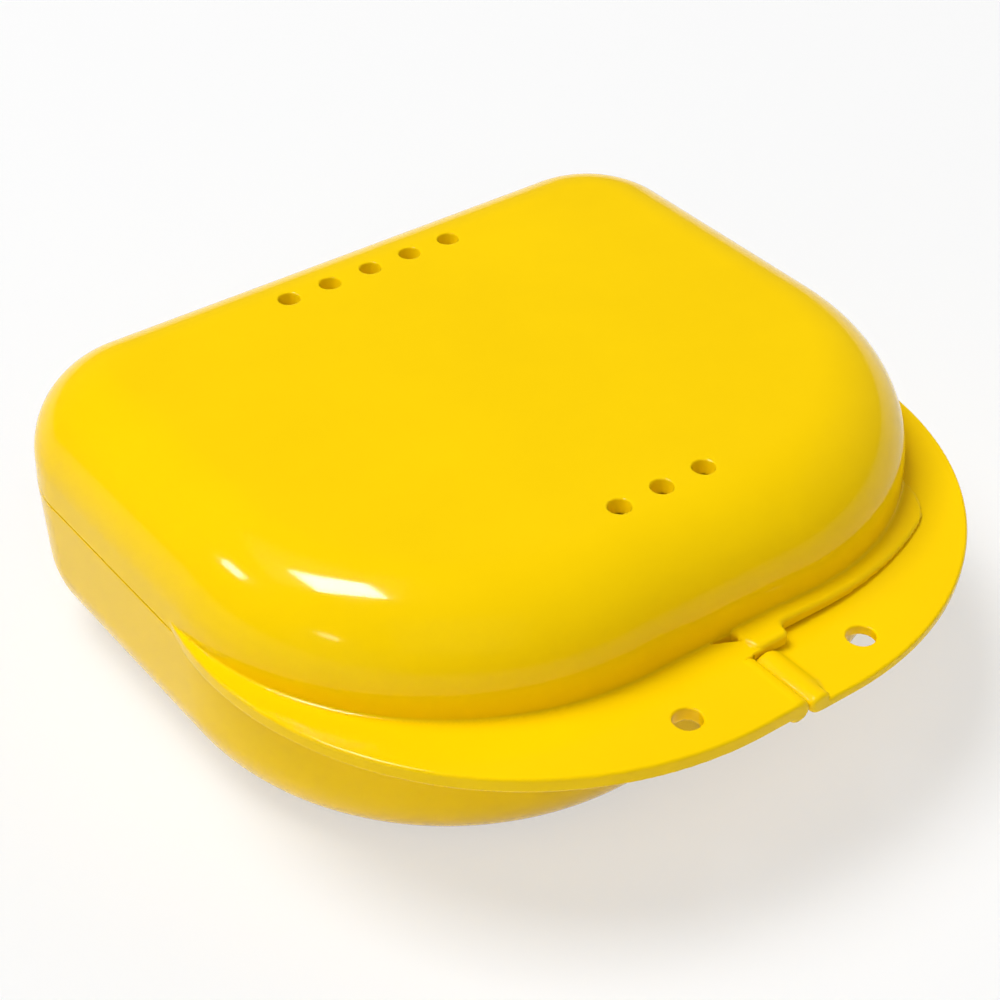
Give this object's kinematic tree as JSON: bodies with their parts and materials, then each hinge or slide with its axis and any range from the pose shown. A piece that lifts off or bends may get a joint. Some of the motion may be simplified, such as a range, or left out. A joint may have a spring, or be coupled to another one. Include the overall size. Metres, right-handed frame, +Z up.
{
  "type": "orthodontic retainer case",
  "caption": "Hinged plastic retainer case: rounded vented lid on a deeper tray, pinned along the back edge, with a split finger tab and lanyard holes at the front.",
  "frame": {"origin": "middle of the closed case's outline, on the surface that it stands on", "axes": "+Z up, -Y to the front where the finger tabs are, +Y to the hinge, +X to the right seen from the front"},
  "size_m": [0.0816, 0.0838, 0.0293],
  "materials": {
    "case_plastic": "glossy moulded polypropylene, bright yellow",
    "pin_steel": "plain drawn stainless steel wire"
  },
  "bodies": {
    "base": {"base_shell": "case_plastic", "hinge_pin_left": "pin_steel", "hinge_pin_right": "pin_steel"},
    "lid": {"lid_shell": "case_plastic"}
  },
  "joints": [
    {"name": "lid_hinge", "type": "hinge", "parent": "base", "child": "lid", "pos_m": [0, 0.03965, 0.0175], "axis": [-1, 0, 0], "range_deg": [0, 180]}
  ]
}
